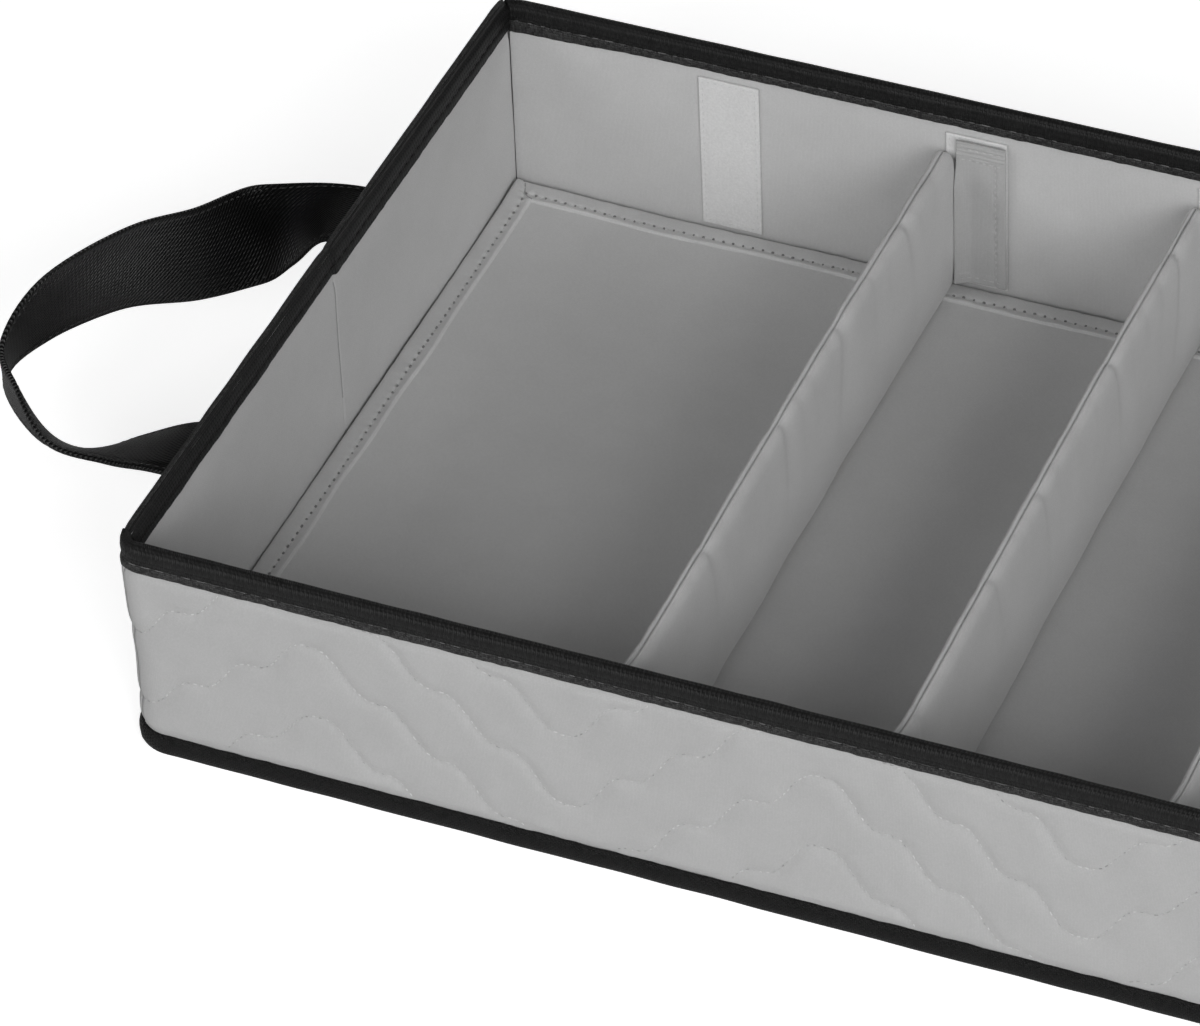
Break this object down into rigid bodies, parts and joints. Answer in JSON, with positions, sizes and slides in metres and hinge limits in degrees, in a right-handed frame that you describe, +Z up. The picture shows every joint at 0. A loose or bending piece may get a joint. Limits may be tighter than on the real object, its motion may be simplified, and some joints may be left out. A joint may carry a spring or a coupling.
{
  "type": "soft-sided flatware storage case",
  "caption": "Open soft-sided storage case in quilted fabric with bound edges, a lift-out padded base, lift-out padded dividers on hook-and-loop tape and a strap handle at each end.",
  "frame": {"origin": "middle of the footprint, on the surface that the case stands on, which is the underside of the base binding", "axes": "+X along the length from the left end wall to the right end wall, +Y from the front wall to the back wall, +Z up"},
  "size_m": [0.7454, 0.356, 0.1],
  "materials": {
    "quilted_cover": "light grey quilted polyester with stitched waves",
    "lining_fabric": "smooth grey woven polyester",
    "binding_tape": "black woven tape",
    "stiffener_board": "grey-brown board",
    "loop_tape": "light grey brushed loop tape",
    "hook_tape": "light grey moulded hooks",
    "insert_fabric": "smooth grey woven polyester",
    "foam": "polyester wadding",
    "divider_fabric": "smooth grey woven polyester",
    "strap_fabric": "black woven polyester, edge-stitched"
  },
  "bodies": {
    "root": {"back_board": "stiffener_board", "back_cover": "quilted_cover", "back_lining": "lining_fabric", "back_loop_strip_1": "loop_tape", "back_loop_strip_2": "loop_tape", "back_loop_strip_3": "loop_tape", "back_loop_strip_4": "loop_tape", "base_binding": "binding_tape", "bottom_cover": "quilted_cover", "bottom_lining": "lining_fabric", "front_board": "stiffener_board", "front_cover": "quilted_cover", "front_lining": "lining_fabric", "front_loop_strip_1": "loop_tape", "front_loop_strip_2": "loop_tape", "front_loop_strip_3": "loop_tape", "front_loop_strip_4": "loop_tape", "left_board_back_half": "stiffener_board", "left_board_front_half": "stiffener_board", "left_cover": "quilted_cover", "left_handle_back_end": "strap_fabric", "left_handle_front_end": "strap_fabric", "left_lining": "lining_fabric", "right_board_back_half": "stiffener_board", "right_board_front_half": "stiffener_board", "right_cover": "quilted_cover", "right_handle_back_end": "strap_fabric", "right_handle_front_end": "strap_fabric", "right_lining": "lining_fabric", "rim_binding_back": "binding_tape", "rim_binding_front": "binding_tape", "rim_binding_left": "binding_tape", "rim_binding_right": "binding_tape"},
    "base_insert": {"insert_top_cover": "insert_fabric", "insert_bottom_cover": "insert_fabric", "insert_board": "stiffener_board", "insert_foam": "foam"},
    "divider_1": {"divider_1_back_hook": "hook_tape", "divider_1_back_tab": "divider_fabric", "divider_1_board": "stiffener_board", "divider_1_cover": "divider_fabric", "divider_1_front_hook": "hook_tape", "divider_1_front_tab": "divider_fabric"},
    "divider_2": {"divider_2_back_hook": "hook_tape", "divider_2_back_tab": "divider_fabric", "divider_2_board": "stiffener_board", "divider_2_cover": "divider_fabric", "divider_2_front_hook": "hook_tape", "divider_2_front_tab": "divider_fabric"},
    "divider_3": {"divider_3_back_hook": "hook_tape", "divider_3_back_tab": "divider_fabric", "divider_3_board": "stiffener_board", "divider_3_cover": "divider_fabric", "divider_3_front_hook": "hook_tape", "divider_3_front_tab": "divider_fabric"},
    "left_handle": {"left_handle_strap": "strap_fabric"},
    "right_handle": {"right_handle_strap": "strap_fabric"}
  },
  "joints": [
    {"name": "base_insert_lift", "type": "slide", "parent": "root", "child": "base_insert", "axis": [0, 0, 1], "range_m": [0, 0.12]},
    {"name": "divider_1_lift", "type": "slide", "parent": "base_insert", "child": "divider_1", "axis": [0, 0, 1], "range_m": [0, 0.12]},
    {"name": "divider_2_lift", "type": "slide", "parent": "base_insert", "child": "divider_2", "axis": [0, 0, 1], "range_m": [0, 0.12]},
    {"name": "divider_3_lift", "type": "slide", "parent": "base_insert", "child": "divider_3", "axis": [0, 0, 1], "range_m": [0, 0.12]},
    {"name": "left_handle_swing", "type": "hinge", "parent": "root", "child": "left_handle", "pos_m": [-0.2545, 0, 0.058], "axis": [0, 1, 0], "range_deg": [-16, 75]},
    {"name": "right_handle_swing", "type": "hinge", "parent": "root", "child": "right_handle", "pos_m": [0.2545, 0, 0.058], "axis": [0, -1, 0], "range_deg": [-16, 75]}
  ]
}
